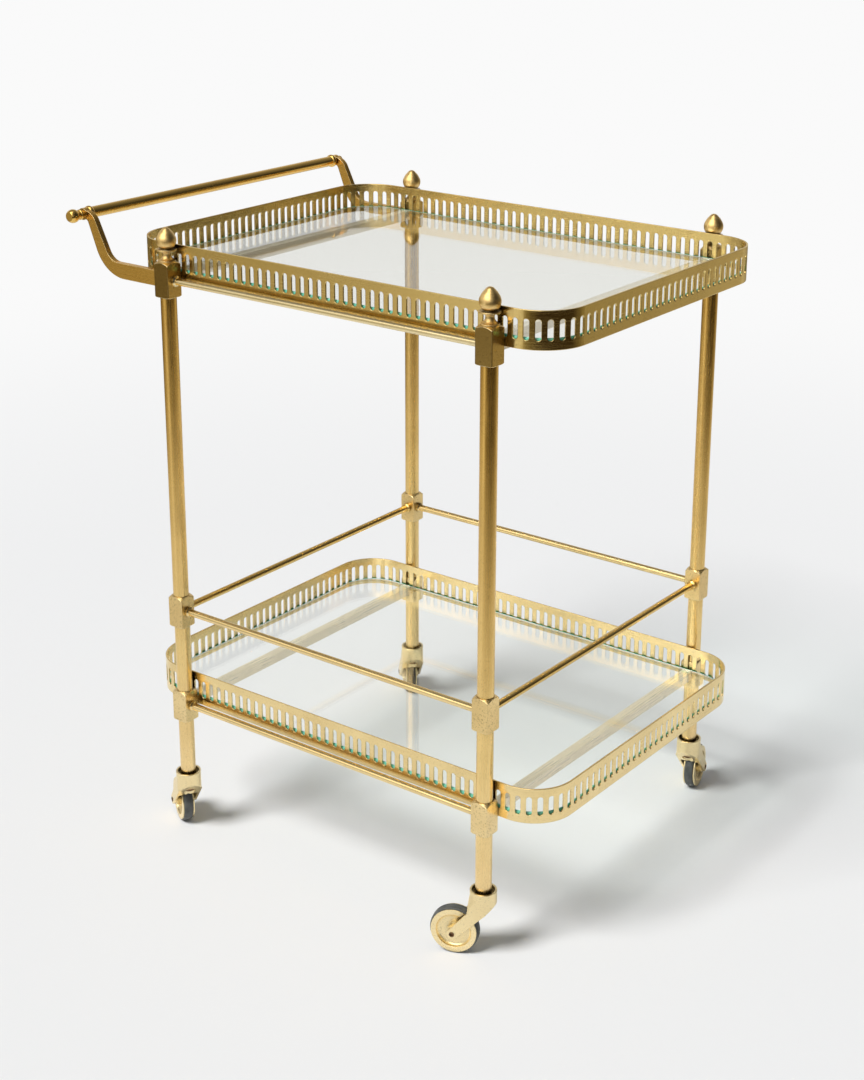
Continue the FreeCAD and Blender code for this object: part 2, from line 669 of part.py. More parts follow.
def handle_bracket(name, side_y):
    """Flat bar on edge that leaves the top block, bends up and ends in an eye for the grip."""
    label = f"handle_bracket_{name}"
    body = new_body(label)
    foot, tip = d.bracket_foot / 2, d.bracket_tip / 2
    outer_knee = (-d.bracket_outer_knee, -foot)
    outer_elbow = (d.bracket_outer_elbow - d.handle_reach, d.handle_rise - tip)
    inner_elbow = (d.bracket_inner_elbow - d.handle_reach, d.handle_rise + tip)
    inner_knee = (-d.bracket_inner_knee, foot)
    sketch = new_sketch(body, "XZ_Plane")
    draw_outline(sketch, [
        (0, foot), inner_knee, inner_elbow, (-d.handle_reach, d.handle_rise + tip),
        (-d.handle_reach, d.handle_rise - tip), outer_elbow, outer_knee, (0, -foot)])
    bar = extrude(body, sketch, d.bracket_thickness, both_ways=True)
    bends = [
        (outer_knee, d.bracket_outer_knee_bend), (inner_knee, d.bracket_inner_knee_bend),
        (outer_elbow, d.bracket_outer_elbow_bend), (inner_elbow, d.bracket_inner_elbow_bend)]
    for corner, radius in bends:
        bar = fillet_crosswise(body, bar, corner, radius)
    eye = new_sketch(body, "XZ_Plane")
    draw_circle(eye, -d.handle_reach, d.handle_rise, d.bracket_eye)
    extrude(body, eye, d.bracket_thickness, both_ways=True)
    drill(body, "XZ_Plane", -d.handle_reach, d.handle_rise, eye_bore, d.bracket_thickness, both_ways=True)
    drill(body, "YZ_Plane", 0, 0, stud_hole, d.stud_depth + d.spigot_clearance)
    face_x = -(d.leg_spacing_x / 2 + d.block_side / 2)
    place(body, face_x, d.leg_spacing_y / 2 * side_y, top_rod_height)
    nodes[label] = body


def bracket_studs():
    members = []
    for name, side_y in (("front", -1), ("back", 1)):
        stud = doc.addObject("Part::Cylinder", f"bracket_stud_{name}")
        bind(stud, "Radius", d.stud_diameter / 2)
        bind(stud, "Height", d.stud_depth + d.spigot_length)
        start_x = -(d.leg_spacing_x / 2 + d.block_side / 2 + d.stud_depth)
        place(stud, start_x, d.leg_spacing_y / 2 * side_y, top_rod_height, ALONG_X)
        members.append(stud)
    group("bracket_studs", members)


def grip_bar():
    length = bracket_inside * 2
    grip, spigot = d.grip_diameter / 2, d.grip_spigot / 2
    bead, bead_root = d.bead_diameter / 2, d.bead_root / 2
    half_bead = d.bead_length / 2
    bend = levelling_radius(bead - bead_root, half_bead)
    reach = d.bracket_thickness + d.knob_thread
    outline = [
        (0, -reach), (spigot, -reach), (spigot, 0), (bead_root, 0),
        (bead, half_bead, bend, LEFT_TURN), (bead_root, d.bead_length, bend, LEFT_TURN),
        (grip, d.bead_length), (grip, length - d.bead_length), (bead_root, length - d.bead_length),
        (bead, length - half_bead, bend, LEFT_TURN), (bead_root, length, bend, LEFT_TURN),
        (spigot, length), (spigot, length + reach), (0, length + reach),
    ]
    nodes["grip_bar"] = turned("grip_bar", outline, handle_x, -bracket_inside, handle_height, ALONG_Y)


def handle_knobs():
    """Ball knob on the front end of the grip and a low domed cap on the back end."""
    neck, ring, ball, flat = d.knob_neck / 2, d.knob_ring / 2, d.knob_diameter / 2, d.knob_flat / 2
    ring_middle = d.knob_ring_base + d.knob_ring_length / 2
    ring_end = d.knob_ring_base + d.knob_ring_length
    ring_bend = levelling_radius(ring - neck, d.knob_ring_length / 2)
    ball_start = d.knob_centre - root(ball * ball - neck * neck)
    ball_end = d.knob_centre + root(ball * ball - flat * flat)
    thread = eye_bore / 2
    thread_end = d.knob_thread + d.spigot_clearance
    socket = [(0, thread_end), (thread, thread_end), (thread, 0)]
    knob = socket + [
        (neck, 0), (neck, d.knob_ring_base),
        (ring, ring_middle, ring_bend, LEFT_TURN), (neck, ring_end, ring_bend, LEFT_TURN),
        (neck, ball_start), (ball, d.knob_centre, ball, LEFT_TURN),
        (flat, ball_end, ball, LEFT_TURN), (0, ball_end),
    ]
    side, dome = d.cap_diameter / 2, levelling_radius(d.cap_height - d.cap_side, d.cap_diameter / 2)
    cap = socket + [(side, 0), (side, d.cap_side), (0, d.cap_height, dome, LEFT_TURN)]
    for name, outline, side_y, turn in (("front", knob, -1, AGAINST_Y), ("back", cap, 1, ALONG_Y)):
        label = f"handle_knob_{name}"
        nodes[label] = turned(label, outline, handle_x, bracket_outside * side_y, handle_height, turn)


def handle():
    handle_bracket("front", -1)
    handle_bracket("back", 1)
    bracket_studs()
    grip_bar()
    handle_knobs()


# Casters

def caster_fork(corner, swivel):
    """Round cup, square on its trailing side, from which two arms reach back to the axle."""
    label = f"caster_fork_{corner}"
    body = new_body(label)
    half, cup = d.arm_span / 2, d.cup_outer / 2
    cup_top = d.cup_base + d.cup_height
    blend_top = d.cup_base + d.cup_blend
    lower_start = d.cup_base + d.arm_lead_rise
    upper_start = d.cup_base - d.arm_trail_drop
    revolve(body, rectangle(0, d.cup_base, cup, cup_top))

    edge = d.arm_eye / 2 * HALF_DIAGONAL
    slope = (lower_start - axle_height + edge) / (half + d.trail - edge)
    lead = (lower_start - d.cup_base) / slope - half
    arms = new_sketch(body, "XZ_Plane")
    draw_outline(arms, [
        (lead, d.cup_base), (d.trail - edge, axle_height - edge), (d.trail + edge, axle_height + edge),
        (half, upper_start), (half, blend_top), (0, blend_top), (0, d.cup_base)])
    extrude(body, arms, d.arm_span, both_ways=True)
    under_lead = new_sketch(body, "XZ_Plane")
    lead_top = d.cup_base + (lead + d.cup_outer) * slope
    draw_outline(under_lead, [(lead, d.cup_base), (-d.cup_outer, lead_top), (-d.cup_outer, d.cup_base)])
    extrude(body, under_lead, d.cup_outer, cut=True, both_ways=True)
    eyes = new_sketch(body, "XZ_Plane")
    draw_circle(eyes, d.trail, axle_height, d.arm_eye)
    extrude(body, eyes, d.arm_span, both_ways=True)
    foot_corner = d.arm_span * HALF_DIAGONAL
    revolve(body, [(cup, blend_top), (foot_corner, d.cup_base), (foot_corner, blend_top)], cut=True)

    wheel_space = new_sketch(body, "XZ_Plane")
    draw_circle(wheel_space, d.trail, axle_height, d.tyre_outer + d.wheel_room * 2)
    extrude(body, wheel_space, d.arm_span - d.arm_thickness * 2, cut=True, both_ways=True)

    pivot = d.pivot_diameter / 2 + d.running_clearance
    head = d.pivot_head / 2 + d.pivot_head_room
    cavity = [
        (0, 0), (head, 0), (head, d.cup_base), (pivot, d.cup_base), (pivot, cup_floor_top),
        (d.cup_inner / 2, cup_floor_top), (d.cup_inner / 2, cup_top), (0, cup_top)]
    revolve(body, cavity, cut=True)
    drill(body, "XZ_Plane", d.trail, axle_height, d.axle_diameter, d.arm_span, both_ways=True)
    place(body, *leg_spot(corner), 0, FreeCAD.Rotation(Z_AXIS, swivel.value))
    nodes[label] = body


def wheel_outline():
    """Half section of the brass wheel: radius against distance along the axle."""
    bore = d.axle_diameter / 2 + d.running_clearance
    rim, flange, hub = d.rim_diameter / 2, d.flange_diameter / 2, d.hub_diameter / 2
    seat = d.tyre_width / 2
    face = seat + d.flange_thickness
    floor = face - d.dish_depth
    hub_face = d.arm_span / 2 - d.arm_thickness - d.hub_clearance
    dish_edge, dish_floor = d.dish_outer / 2, d.dish_inner / 2
    dish_bend = levelling_radius(d.dish_depth, dish_edge - dish_floor)
    return [
        (bore, -hub_face), (hub, -hub_face), (hub, -floor), (dish_floor, -floor),
        (dish_edge, -face, dish_bend, RIGHT_TURN), (flange, -face), (flange, -seat), (rim, -seat),
        (rim, seat), (flange, seat), (flange, face), (dish_edge, face),
        (dish_floor, floor, dish_bend, RIGHT_TURN), (hub, floor), (hub, hub_face), (bore, hub_face),
    ]


def tyre_outline():
    seat, tread = d.rim_diameter / 2 + d.tyre_clearance, d.tyre_outer / 2
    side = d.tyre_width / 2
    round_off = d.tyre_shoulder
    return [
        (seat, -side), (tread - round_off, -side), (tread, round_off - side, round_off, LEFT_TURN),
        (tread, side - round_off), (tread - round_off, side, round_off, LEFT_TURN), (seat, side),
    ]


def axle_outline():
    radius, dimple = d.axle_diameter / 2, d.axle_dimple / 2
    end = d.arm_span / 2 + d.axle_stand
    inside = end - d.axle_dimple_depth
    return [
        (0, -inside), (dimple, -inside), (dimple, -end), (radius, -end),
        (radius, end), (dimple, end), (dimple, inside), (0, inside),
    ]


def pivot_outline():
    """Plug for the foot tube, its flange, the pin through the cup and the riveted head below."""
    thread, plug = tie_rod_hole / 2, d.tube_bore / 2 - d.plug_clearance
    pin, head = d.pivot_diameter / 2, d.pivot_head / 2
    pin_end = -(d.cup_floor + d.thrust_gap * 2)
    head_end = pin_end - d.pivot_head_height
    plug_top = d.plug_flange + d.plug_length
    thread_end = plug_top - d.plug_thread
    return [
        (0, head_end), (head, head_end), (head, pin_end), (pin, pin_end), (pin, 0), (d.tube_outer / 2, 0),
        (d.tube_outer / 2, d.plug_flange), (plug, d.plug_flange), (plug, plug_top),
        (thread, plug_top), (thread, thread_end), (0, thread_end),
    ]


def casters():
    pivots = []
    for corner in CORNERS:
        swivel = getattr(d, f"swivel_{corner}")
        x, y = leg_spot(corner)
        caster_fork(corner, swivel)
        axle_spot = (x + d.trail * cosine(swivel), y + d.trail * sine(swivel), axle_height)
        across = FreeCAD.Rotation(Z_AXIS, swivel.value).multiply(ALONG_Y)
        for name, outline in (("wheel", wheel_outline()), ("tyre", tyre_outline()), ("axle", axle_outline())):
            label = f"{name}_{corner}"
            nodes[label] = turned(label, outline, *axle_spot, across)
        pivots.append(turned(f"pivot_{corner}", pivot_outline(), x, y, plug_base))
    group("caster_pivots", pivots)


# Build, test and write

def test_document():
    """Stop if a feature failed, a cut removed nothing or a piece is not a sound solid."""
    for item in doc.Objects:
        if {"Invalid", "Error"} & set(item.State):
            raise RuntimeError(f"{item.Label} failed: {item.State}")
        if item.TypeId in ("PartDesign::Pocket", "PartDesign::Groove"):
            if item.BaseFeature.Shape.Volume - item.Shape.Volume < 0.01:
                raise RuntimeError(f"{item.Label} cuts nothing")
    for label, item in nodes.items():
        if item.Shape.isNull() or not item.Shape.isValid() or not item.Shape.Solids:
            raise RuntimeError(f"{label} is not a sound solid")


def main():
    legs()
    blocks()
    finials()
    tie_rods()
    rods()
    shelves()
    handle()
    casters()
    doc.recompute()
    test_document()
    os.makedirs("parts", exist_ok=True)
    for label, item in nodes.items():
        item.Shape.exportStep(f"parts/{label}.step")
    print(len(nodes), "nodes,", sum(len(item.Shape.Solids) for item in nodes.values()), "solids")


main()
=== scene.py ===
import math

import bpy
import numpy as np
from mathutils import Matrix, Vector


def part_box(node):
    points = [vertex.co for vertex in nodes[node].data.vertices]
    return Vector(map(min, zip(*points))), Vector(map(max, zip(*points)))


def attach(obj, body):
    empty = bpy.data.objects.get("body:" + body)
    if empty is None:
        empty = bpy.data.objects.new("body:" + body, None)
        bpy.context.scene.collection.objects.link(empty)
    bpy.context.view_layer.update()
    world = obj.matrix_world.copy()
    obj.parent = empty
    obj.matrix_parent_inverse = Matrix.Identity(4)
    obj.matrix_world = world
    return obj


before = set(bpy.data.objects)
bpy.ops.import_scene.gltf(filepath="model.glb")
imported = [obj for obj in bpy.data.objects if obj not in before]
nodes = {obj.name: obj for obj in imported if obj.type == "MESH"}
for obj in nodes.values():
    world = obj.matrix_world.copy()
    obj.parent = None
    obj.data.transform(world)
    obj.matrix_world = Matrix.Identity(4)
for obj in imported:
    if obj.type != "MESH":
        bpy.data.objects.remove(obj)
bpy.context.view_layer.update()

scene = bpy.context.scene
scene.view_settings.view_transform = "Standard"


# Lengths are in metres, angles in degrees, and tones are linear red, green and blue

# Node graphs: small helpers that every finish is put together from

WHOLE = (0, 1)
EVERY_WAY = (1, 1, 1)
# Numbers of the mixing nodes' sockets for colours and for shaders
FIRST_COLOUR, SECOND_COLOUR, MIXED_COLOUR = 6, 7, 2
FIRST_SHADER, SECOND_SHADER = 1, 2


def new_finish(name):
    """An empty node material with its output."""
    finish = bpy.data.materials.new(name)
    finish.use_nodes = True
    tree = finish.node_tree
    tree.nodes.clear()
    return finish, tree, tree.nodes.new("ShaderNodeOutputMaterial")


def place_on(tree):
    """Object coordinates, in metres from the cart's origin, where every piece's own origin is."""
    return tree.nodes.new("ShaderNodeTexCoord").outputs["Object"]


def feed(tree, socket, value):
    """Link a socket to another one, or give it a value; a colour may leave out its alpha."""
    if isinstance(value, bpy.types.NodeSocket):
        tree.links.new(value, socket)
    elif socket.type == "RGBA" and len(value) == 3:
        socket.default_value = (*value, 1)
    else:
        socket.default_value = value


def add_node(tree, kind, settings=None, **inputs):
    """A node with its properties set and its named inputs fed."""
    node = tree.nodes.new(f"ShaderNode{kind}")
    for key, value in (settings or {}).items():
        setattr(node, key, value)
    for key, value in inputs.items():
        feed(tree, node.inputs[key.replace("_", " ")], value)
    return node


def add_sum(tree, kind, operation, terms):
    """Outputs of a sum whose terms are sockets or plain values."""
    made = add_node(tree, kind, {"operation": operation})
    for socket, term in zip(made.inputs, terms):
        feed(tree, socket, term)
    return made.outputs


def math_node(tree, operation, *numbers):
    """Result of a sum on numbers."""
    return add_sum(tree, "Math", operation, numbers)["Value"]


def vector_node(tree, operation, *vectors):
    """Outputs of a sum on vectors: Vector, or Value where the result is a number."""
    return add_sum(tree, "VectorMath", operation, vectors)


def noise(tree, place, waves, detail, stretch=EVERY_WAY):
    """Noise of a given number of waves per metre; a stretch below 1 draws it out along that axis."""
    if stretch != EVERY_WAY:
        place = add_node(tree, "Mapping", Vector=place, Scale=stretch).outputs[0]
    return add_node(tree, "TexNoise", Vector=place, Scale=waves, Detail=detail).outputs["Fac"]


def carry(tree, value, span, target, smooth=False):
    """A value carried from one span to another and held at its ends."""
    settings = {"interpolation_type": "SMOOTHSTEP"} if smooth else None
    made = add_node(tree, "MapRange", settings, Value=value, From_Min=span[0], From_Max=span[1],
                    To_Min=target[0], To_Max=target[1])
    return made.outputs[0]


def blend_colours(tree, share, first, second):
    """A colour that goes from the first to the second as the share grows."""
    made = add_node(tree, "Mix", {"data_type": "RGBA"}, Factor=share)
    feed(tree, made.inputs[FIRST_COLOUR], first)
    feed(tree, made.inputs[SECOND_COLOUR], second)
    return made.outputs[MIXED_COLOUR]


def blend_shaders(tree, share, first, second):
    """A surface that goes from the first to the second as the share grows."""
    made = add_node(tree, "MixShader", Fac=share)
    tree.links.new(first, made.inputs[FIRST_SHADER])
    tree.links.new(second, made.inputs[SECOND_SHADER])
    return made.outputs[0]


def put_surface(tree, output, **inputs):
    """A principled surface with its named inputs fed, put on the material's output."""
    shader = add_node(tree, "BsdfPrincipled", **inputs)
    tree.links.new(shader.outputs[0], output.inputs["Surface"])


# Brass: three tones each, for the height of the casters, of the lower shelf and of the top; painted light
# and shade by height, paler low down and browner at the top

LEG_TONES = ((0.99, 0.75, 0.39), (0.93, 0.68, 0.29), (0.82, 0.50, 0.125))
BAND_TONES = ((0.97, 0.78, 0.42), (0.93, 0.73, 0.36), (0.88, 0.66, 0.26))
ROD_TONES = ((0.97, 0.78, 0.42), (0.91, 0.70, 0.34), (0.91, 0.77, 0.46))
BAR_TONES = ((0.93, 0.81, 0.60), (0.93, 0.81, 0.60), (0.93, 0.84, 0.70))
GRIP_TONES = ((0.92, 0.68, 0.28), (0.92, 0.66, 0.25), (0.92, 0.60, 0.17))
BLOCK_TONES = ((0.99, 0.80, 0.45), (0.93, 0.71, 0.35), (0.78, 0.52, 0.16))
FINIAL_TONES = ((0.98, 0.77, 0.40), (0.93, 0.71, 0.34), (0.95, 0.68, 0.29))
CASTER_TONES = ((0.99, 0.83, 0.49), (0.95, 0.78, 0.43), (0.95, 0.78, 0.43))
LOWER_SPAN, UPPER_SPAN = (0.05, 0.25), (0.25, 0.70)

PATINA = (0.42, 0.26, 0.06)
# Dark tarnish of the pits, and the same tone as painted shade on faces that look to the front
TARNISH_AND_SHADE = (0.14, 0.085, 0.02)
# Painted shade in the hollows, where other faces close in
HOLLOW_SHADE = (0.16, 0.125, 0.065)
# Edges painted paler: rubbed wear with a painted highlight on it
WORN_EDGE_AND_HIGHLIGHT = (0.97, 0.83, 0.50)

CLOUDS = {"waves": 18, "detail": 6.0}
BRUSH_MARKS = {"waves": 1100, "detail": 3.0}
PITS = {"waves": 620, "detail": 2.0}
NOISE_SPAN, PIT_SPAN = (0.32, 0.68), (0.58, 0.70)

MARK_SHARE, MARK_STRENGTH, MARK_DEPTH = 0.08, 0.06, 0.0003
MARKS_SMOOTHER, MARKS_ROUGHER = 0.05, 0.07
CLOUDS_ROUGHEN = (-0.04, 0.05)
FRONT_SPAN = (-0.5, -0.95)
# Rays that feel for hollows and edges
FEELERS = 6
HOLLOW_REACH, OPEN_SPAN = 0.012, (0.25, 0.85)
ROUNDED_EDGE_RADIUS, TURNED_SPAN = 0.0011, (0.995, 0.90)


def shaded_tone_at(tree, height, tones):
    """A tone by height, painted light and shade: the first low down, then the second, and the third at the
    top.
    """
    low, middle, high = tones
    tone = blend_colours(tree, carry(tree, height, LOWER_SPAN, WHOLE), low, middle)
    return blend_colours(tree, carry(tree, height, UPPER_SPAN, WHOLE), tone, high)


def normal_of(tree):
    """The way that a face looks, without brush marks or rounded edges."""
    return tree.nodes.new("ShaderNodeNewGeometry").outputs["Normal"]


def front_shade_share(tree, height, most):
    """How far a face looks to the front, counted more towards the top of the cart."""
    backward = add_node(tree, "SeparateXYZ", Vector=normal_of(tree)).outputs["Y"]
    front = carry(tree, backward, FRONT_SPAN, (0, most))
    return math_node(tree, "MULTIPLY", front, carry(tree, height, UPPER_SPAN, WHOLE, smooth=True))


def hollow_share(tree, most):
    """How far other faces close in on a place."""
    opened = add_node(tree, "AmbientOcclusion", {"samples": FEELERS}, Distance=HOLLOW_REACH)
    return carry(tree, opened.outputs["AO"], OPEN_SPAN, (most, 0))


def edge_share(tree, rounded, most):
    """How near an edge a place is: there the rounded edge turns away from the face."""
    turned = vector_node(tree, "DOT_PRODUCT", rounded, normal_of(tree))["Value"]
    return carry(tree, turned, TURNED_SPAN, (0, most))


def brass(name, drawn, tones, rough, patina=0.25, edges=0.0, speckle=0.22, front_shade=0.0, hollows=0.85,
          metal=1.0):
    """Aged brass, paler low down and browner towards the top of the cart: painted light and shade by height.

    Over the tone for the height lie clouds of patina, brush marks drawn along an axis, dark pits, painted
    shade on the front faces, painted shade in the hollows, and edges rubbed bright with a painted highlight
    on them.
    """
    finish, tree, output = new_finish(name)
    place = place_on(tree)
    height = add_node(tree, "SeparateXYZ", Vector=place).outputs["Z"]
    clouds = noise(tree, place, **CLOUDS)
    marks = noise(tree, place, **BRUSH_MARKS, stretch=drawn)
    pits = noise(tree, place, **PITS)
    relief = add_node(tree, "Bump", Strength=MARK_STRENGTH, Distance=MARK_DEPTH, Height=marks)
    layers = [(PATINA, carry(tree, clouds, NOISE_SPAN, (0, patina))),
              (PATINA, carry(tree, marks, NOISE_SPAN, (0, MARK_SHARE))),
              (TARNISH_AND_SHADE, carry(tree, pits, PIT_SPAN, (0, speckle)))]
    if front_shade:
        # Painted shade: faces that look to the front are darker, more so towards the top
        layers.append((TARNISH_AND_SHADE, front_shade_share(tree, height, front_shade)))
    if hollows:
        # Painted shade: darker where other faces close in
        layers.append((HOLLOW_SHADE, hollow_share(tree, hollows)))
    if edges:
        rounded = add_node(tree, "Bevel", {"samples": FEELERS}, Radius=ROUNDED_EDGE_RADIUS).outputs[0]
        # Edges painted paler, as rubbed wear and a painted highlight; the rounded edges also bend the
        # shading
        layers.append((WORN_EDGE_AND_HIGHLIGHT, edge_share(tree, rounded, edges)))
        tree.links.new(rounded, relief.inputs["Normal"])
    tone = shaded_tone_at(tree, height, tones)
    for layer, share in layers:
        tone = blend_colours(tree, share, tone, layer)
    brushed = carry(tree, marks, NOISE_SPAN, (rough - MARKS_SMOOTHER, rough + MARKS_ROUGHER))
    worn = math_node(tree, "ADD", brushed, carry(tree, clouds, NOISE_SPAN, CLOUDS_ROUGHEN))
    put_surface(tree, output, Base_Color=tone, Metallic=metal, Roughness=worn, Normal=relief.outputs[0])
    return finish


# Glass, rubber and steel

GLASS_BEND, GLASS_TONE, GLASS_PASSES = 1.5, (0.995, 1.0, 0.997), (0.985, 0.995, 0.99)
GLASS_BODY, GLASS_DENSITY = (0.35, 0.90, 0.72), 4.5
EDGE_CLOUDS = {"waves": 40, "detail": 5.0}
EDGE_DEEP, EDGE_PALE, EDGE_ROUGH = (0.09, 0.46, 0.33), (0.22, 0.66, 0.50), 0.28
GRIT, CHALK = {"waves": 700, "detail": 4.0}, {"waves": 90, "detail": 5.0}
RUBBER_DARK, RUBBER_CHALKY, RUBBER_ROUGH = (0.042, 0.045, 0.043), (0.105, 0.11, 0.105), (0.45, 0.62)
GRIT_STRENGTH, GRIT_DEPTH = 0.2, 0.0004
STEEL_CLOUDS = {"waves": 300, "detail": 4.0}
STEEL_DARK, STEEL_BROWN, STEEL_ROUGH = (0.10, 0.055, 0.03), (0.26, 0.16, 0.09), 0.42


def clouded(tree, clouds, first, second):
    """A tone that wanders between two with the noise."""
    return blend_colours(tree, carry(tree, clouds, NOISE_SPAN, WHOLE), first, second)


def clear_glass():
    """Float glass: clear through its thickness, green along its length, and open to the lamps' light."""
    finish, tree, output = new_finish("clear glass")
    shader = add_node(tree, "BsdfPrincipled", Base_Color=GLASS_TONE, Roughness=0.0, IOR=GLASS_BEND,
                      Transmission_Weight=1.0)
    passing = add_node(tree, "BsdfTransparent", Color=GLASS_PASSES)
    path = tree.nodes.new("ShaderNodeLightPath").outputs
    straight = math_node(tree, "MAXIMUM", path["Is Shadow Ray"], path["Is Diffuse Ray"])
    surface = blend_shaders(tree, straight, shader.outputs[0], passing.outputs[0])
    tree.links.new(surface, output.inputs["Surface"])
    body = add_node(tree, "VolumeAbsorption", Color=GLASS_BODY, Density=GLASS_DENSITY)
    tree.links.new(body.outputs[0], output.inputs["Volume"])
    return finish


def ground_edge():
    """Ground edge of the glass: the light inside the pane, which comes out there, is painted on as a clouded
    green.
    """
    finish, tree, output = new_finish("ground glass edge")
    tone = clouded(tree, noise(tree, place_on(tree), **EDGE_CLOUDS), EDGE_DEEP, EDGE_PALE)
    put_surface(tree, output, Base_Color=tone, Roughness=EDGE_ROUGH, IOR=GLASS_BEND)
    return finish


def rubber():
    """Grey rubber with chalky patches and fine grit in its surface."""
    finish, tree, output = new_finish("grey rubber")
    place = place_on(tree)
    grit = noise(tree, place, **GRIT)
    tone = clouded(tree, noise(tree, place, **CHALK), RUBBER_DARK, RUBBER_CHALKY)
    relief = add_node(tree, "Bump", Strength=GRIT_STRENGTH, Distance=GRIT_DEPTH, Height=grit)
    rough = carry(tree, grit, NOISE_SPAN, RUBBER_ROUGH)
    put_surface(tree, output, Base_Color=tone, Roughness=rough, Normal=relief.outputs[0])
    return finish


def dark_steel():
    """Oiled steel pins, brown with age."""
    finish, tree, output = new_finish("oiled steel")
    tone = clouded(tree, noise(tree, place_on(tree), **STEEL_CLOUDS), STEEL_DARK, STEEL_BROWN)
    put_surface(tree, output, Base_Color=tone, Metallic=1.0, Roughness=STEEL_ROUGH)
    return finish


# The cart's finishes, each with the way that its brush marks run, its tones, its roughness, its wear and its
# painted shade and highlights

ALONG_X, ALONG_Y, ALONG_Z = (0.02, 1, 1), (1, 0.02, 1), (1, 1, 0.02)
ROUND_Z = (0.04, 0.04, 1)
leg_brass = brass("brass of the legs", ALONG_Z, LEG_TONES, rough=0.25, patina=0.18)
block_brass = brass("brass of the blocks", EVERY_WAY, BLOCK_TONES, rough=0.26, patina=0.3, edges=0.85,
                    speckle=0.6, front_shade=0.75)
finial_brass = brass("turned brass of the finials", ROUND_Z, FINIAL_TONES, rough=0.36, patina=0.15,
                     edges=0.5)
front_rod_brass = brass("brass drawn along the front", ALONG_X, ROD_TONES, rough=0.17, patina=0.18)
side_rod_brass = brass("brass drawn along the sides", ALONG_Y, GRIP_TONES, rough=0.17, patina=0.22)
bar_brass = brass("brass of the crossbars", ALONG_Y, BAR_TONES, rough=0.30, patina=0.10, hollows=0.0,
                  metal=0.45)
bracket_brass = brass("brass of the handle brackets", ALONG_X, LEG_TONES, rough=0.28, edges=0.6)
band_brass = brass("brass of the galleries", ROUND_Z, BAND_TONES, rough=0.19, patina=0.18, edges=0.4)
caster_brass = brass("cast brass of the casters", EVERY_WAY, CASTER_TONES, rough=0.30, patina=0.12,
                     edges=0.5)
glass = clear_glass()
edge_glass = ground_edge()
tyre_rubber = rubber()
pin_steel = dark_steel()

FINISH_BY_START = {
    "leg_": leg_brass, "finial_": finial_brass, "tyre_": tyre_rubber, "axle_": pin_steel,
    "tie_rods": pin_steel, "bracket_studs": pin_steel, "caster_pivots": pin_steel,
    "handle_bracket": bracket_brass, "handle_knob": side_rod_brass, "grip_bar": side_rod_brass,
    "wheel_": caster_brass, "caster_fork": caster_brass,
}
FINISH_BY_WORD = {
    "_block_": block_brass, "_gallery": band_brass, "_glass": glass, "_crossbar": bar_brass,
    "_rod_front": front_rod_brass, "_rod_back": front_rod_brass, "_rod_left": side_rod_brass,
    "_rod_right": side_rod_brass,
}


def finish_for(node):
    """The finish of a CAD node, by how its name starts or by a word in it."""
    for start, finish in FINISH_BY_START.items():
        if node.startswith(start):
            return finish
    return next(finish for word, finish in FINISH_BY_WORD.items() if word in node)


for name, piece in nodes.items():
    piece.data.materials.clear()
    piece.data.materials.append(finish_for(name))


# Ground edges of the glass, worked out as arrays

GLASS_CORNER, GLASS_BEVEL = 0.049, 0.0006
EDGE_FROM, EDGE_STAND, SEAM_WIDTH, SEAM_LIFT = 0.00002, 0.0004, 0.0016, 0.00004
CORNER_STEPS, EDGE_STEPS = 24, 10
CORNER_SIDES = np.array([(1, 1), (-1, 1), (-1, -1), (1, -1)])


def grid_piece(name, points, finish, body):
    """A closed surface from an array of points [along, round, xyz] whose two directions both close up."""
    steps_along, steps_round = points.shape[:2]
    number = np.arange(steps_along * steps_round).reshape(steps_along, steps_round)
    ahead, beside = np.roll(number, -1, axis=0), np.roll(number, -1, axis=1)
    both = np.roll(ahead, -1, axis=1)
    faces = np.stack([number, ahead, both, beside], axis=-1).reshape(-1, 4)
    mesh = bpy.data.meshes.new(name)
    mesh.from_pydata(points.reshape(-1, 3).tolist(), [], faces.tolist())
    mesh.polygons.foreach_set("use_smooth", np.ones(len(faces), dtype=bool))
    mesh.materials.append(finish)
    piece = bpy.data.objects.new(name, mesh)
    scene.collection.objects.link(piece)
    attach(piece, body)


def glass_edge(shelf):
    """Ground edge round a pane: a shallow bow with a thin seam over the top, carried round its outline.

    The outline is four quarter circles about the corner centres, whose ends the straight sides join. The
    bow stands out by the sine of half a turn over the height between the bevels. From its top the section
    goes up the bevel and in along the pane's top to the seam's width, and comes back the same way one lift
    nearer the glass.
    """
    low, high = (np.array(corner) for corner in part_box(f"{shelf}_glass"))
    centre, reach = (low + high) / 2, (high - low) / 2 - GLASS_CORNER
    quarter = np.linspace(0, np.pi / 2, CORNER_STEPS)
    angle = (quarter[None, :] + np.arange(len(CORNER_SIDES))[:, None] * np.pi / 2).ravel()
    outward = np.stack([np.cos(angle), np.sin(angle)], axis=-1)
    side = np.repeat(CORNER_SIDES, CORNER_STEPS, axis=0)
    outline = centre[:2] + side * reach[:2] + outward * GLASS_CORNER

    climb = np.linspace(0, 1, EDGE_STEPS)
    foot, knee, top = low[2] + GLASS_BEVEL, high[2] - GLASS_BEVEL, high[2]
    bow = EDGE_FROM + SEAM_LIFT + EDGE_STAND * np.sin(np.pi * climb)
    seam = np.array([-GLASS_BEVEL, -SEAM_WIDTH])
    stand = np.concatenate([bow, seam + SEAM_LIFT, seam[::-1], [EDGE_FROM, EDGE_FROM]])
    over, under = [top + 2 * SEAM_LIFT] * 2, [top + SEAM_LIFT] * 2
    level = np.concatenate([foot + climb * (knee - foot), over, under, [knee, foot]])
    flat = outline[:, None, :] + outward[:, None, :] * stand[None, :, None]
    points = np.concatenate([flat, np.broadcast_to(level[None, :, None], flat.shape[:2] + (1,))], axis=-1)
    grid_piece(f"{shelf}_glass_edge", points, edge_glass, "frame")


